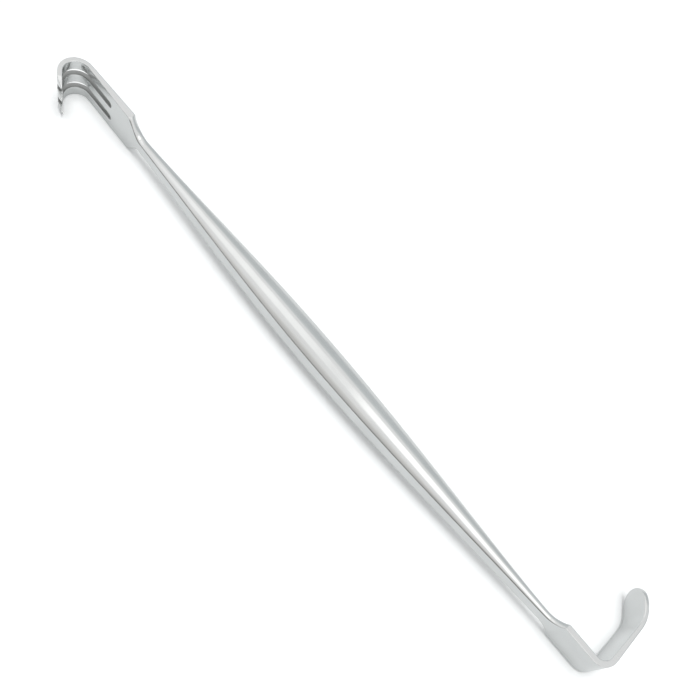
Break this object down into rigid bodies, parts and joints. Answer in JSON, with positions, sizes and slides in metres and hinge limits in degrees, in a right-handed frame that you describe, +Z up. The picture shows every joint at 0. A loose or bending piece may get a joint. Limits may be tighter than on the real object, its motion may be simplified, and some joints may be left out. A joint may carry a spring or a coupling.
{
  "type": "handheld surgical retractor",
  "caption": "Double-ended hand retractor in satin steel: a pronged rake hook at one end, a right-angled lipped blade at the other, and a tapered handle between.",
  "frame": {"origin": "on the handle's axis, halfway along the overall length", "axes": "+X along the instrument towards the blade end, +Y the way the blade points, +Z up across the width, with the instrument lying on its side"},
  "size_m": [0.16, 0.0285, 0.0082],
  "materials": {
    "satin_steel": "fine satin, ground along the handle"
  },
  "bodies": {
    "root": {"retractor_body": "satin_steel"}
  },
  "joints": []
}
